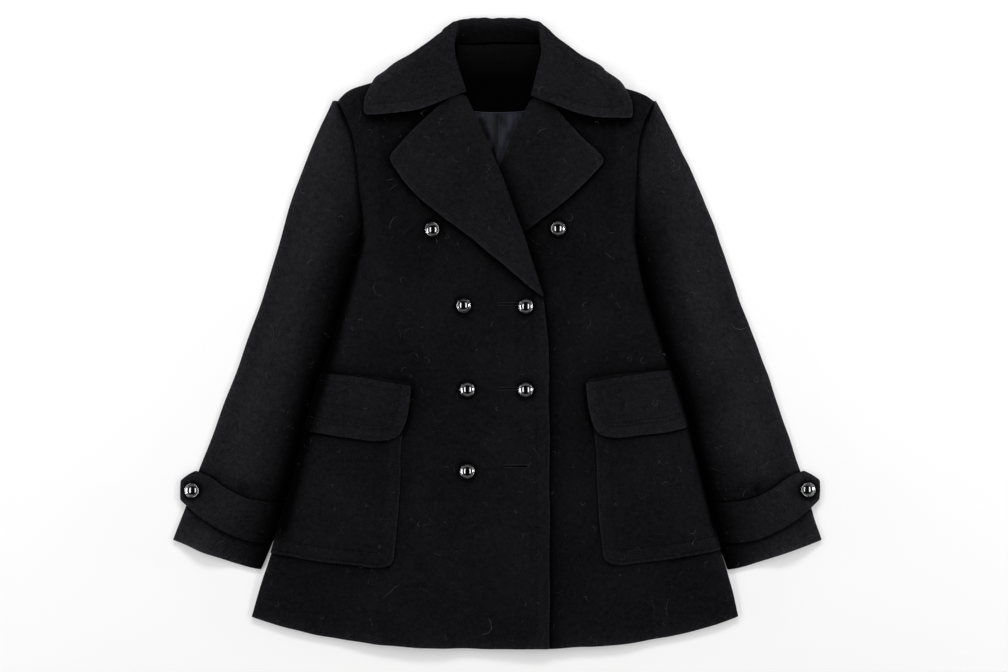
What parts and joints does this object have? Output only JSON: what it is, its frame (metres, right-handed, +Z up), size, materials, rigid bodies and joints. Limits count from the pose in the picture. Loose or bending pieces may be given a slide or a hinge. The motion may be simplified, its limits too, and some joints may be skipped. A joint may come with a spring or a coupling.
{
  "type": "double-breasted overcoat",
  "caption": "Short flared double-breasted wool overcoat with wide notched lapels, patch pockets with flaps and cuff straps, buttoned and laid flat.",
  "frame": {"origin": "middle of the footprint, on the surface that the coat lies on", "axes": "+X towards the wearer's left sleeve, +Y from the hem to the collar, +Z up from the surface, out of the coat's front"},
  "size_m": [0.825, 0.8028, 0.0271],
  "materials": {
    "wool": "black melton wool, matt, short felted nap",
    "facing": "black facing cloth, matt",
    "lining": "dark navy satin, soft sheen",
    "button": "gunmetal, polished"
  },
  "bodies": {
    "root": {"back": "wool", "front_right": "wool", "front_left": "wool", "lapel_right": "wool", "lapel_left": "wool", "collar": "wool", "neck_facing": "facing", "lining": "lining", "sleeve_top_right": "wool", "sleeve_under_right": "wool", "sleeve_top_left": "wool", "sleeve_under_left": "wool", "cuff_strap_right": "wool", "cuff_strap_left": "wool", "pocket_right": "wool", "pocket_left": "wool", "flap_right": "wool", "flap_left": "wool", "button_1": "button", "button_2": "button", "button_3": "button", "button_4": "button", "button_5": "button", "button_6": "button", "button_7": "button", "cuff_button_right": "button", "cuff_button_left": "button"}
  },
  "joints": []
}
